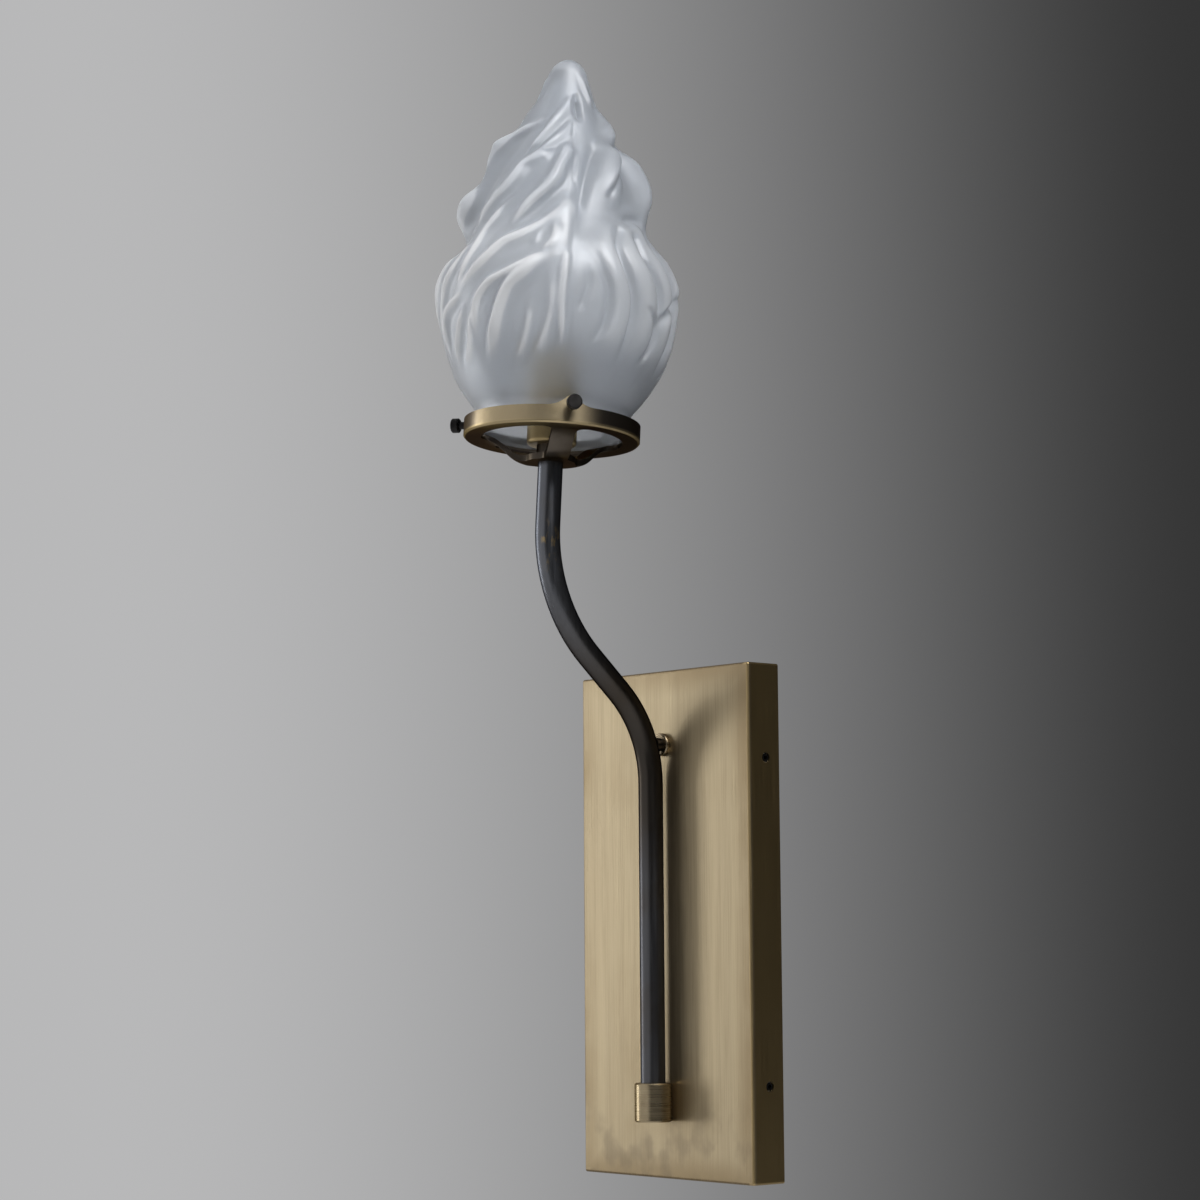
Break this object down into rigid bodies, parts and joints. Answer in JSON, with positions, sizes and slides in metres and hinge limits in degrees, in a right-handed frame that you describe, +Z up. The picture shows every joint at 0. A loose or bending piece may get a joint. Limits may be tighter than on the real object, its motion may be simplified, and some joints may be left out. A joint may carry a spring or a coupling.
{
  "type": "wall sconce",
  "caption": "Wall light with a flat rectangular back box, a bent tube arm and a flame-shaped glass shade held in a screw gallery over a lampholder.",
  "frame": {"origin": "middle of the back box's back, on the wall", "axes": "+Y into the wall, so the sconce stands out along -Y, +Z up, +X to the right seen from the room"},
  "size_m": [0.13, 0.152, 0.5755],
  "materials": {
    "plate_brass": "brushed antique brass",
    "cast_brass": "dark antique brass, worn bright on its edges",
    "turned_brass": "turned, satin",
    "dark_bronze": "dark bronze, satin",
    "black_steel": "black",
    "zinc_steel": "zinc plated",
    "white_plastic": "moulded",
    "black_insulator": "moulded",
    "brown_sheath": "wire sheath",
    "blue_sheath": "wire sheath",
    "green_sheath": "wire sheath",
    "frosted_glass": "frosted"
  },
  "bodies": {
    "base": {"backplate_cover": "plate_brass", "wall_bracket": "zinc_steel", "cover_side_screws": "black_steel", "terminal_block": "white_plastic", "terminal_screws": "zinc_steel", "terminal_block_screws": "zinc_steel", "earth_screw": "turned_brass", "earth_tag": "zinc_steel", "earth_wire": "green_sheath", "arm_tube": "dark_bronze", "arm_ferrule": "turned_brass", "ferrule_pipe": "zinc_steel", "ferrule_washer": "zinc_steel", "ferrule_nut": "zinc_steel", "standoff_collar": "dark_bronze", "standoff_stud": "dark_bronze", "standoff_washer": "zinc_steel", "standoff_nut": "zinc_steel", "gallery": "cast_brass", "head_pipe": "turned_brass", "head_nut": "zinc_steel", "lampholder_cup": "turned_brass", "lampholder_insulator": "black_insulator", "lampholder_thread_shell": "turned_brass", "lampholder_contact": "turned_brass", "live_wire": "brown_sheath", "neutral_wire": "blue_sheath"},
    "shade": {"glass_shade": "frosted_glass"},
    "screw_right": {"thumb_screw_right": "black_steel"},
    "screw_rear": {"thumb_screw_rear": "black_steel"},
    "screw_left": {"thumb_screw_left": "black_steel"}
  },
  "joints": [
    {"name": "shade_lift", "type": "slide", "parent": "base", "child": "shade", "axis": [0, 0.0628, 0.998], "range_m": [0, 0.06]},
    {"name": "screw_right_out", "type": "slide", "parent": "base", "child": "screw_right", "axis": [0.8886, -0.4577, 0.0288], "range_m": [0, 0.004]},
    {"name": "screw_rear_out", "type": "slide", "parent": "base", "child": "screw_rear", "axis": [-0.0471, 0.9969, -0.0627], "range_m": [0, 0.004]},
    {"name": "screw_left_out", "type": "slide", "parent": "base", "child": "screw_left", "axis": [-0.8415, -0.5392, 0.0339], "range_m": [0, 0.004]}
  ]
}
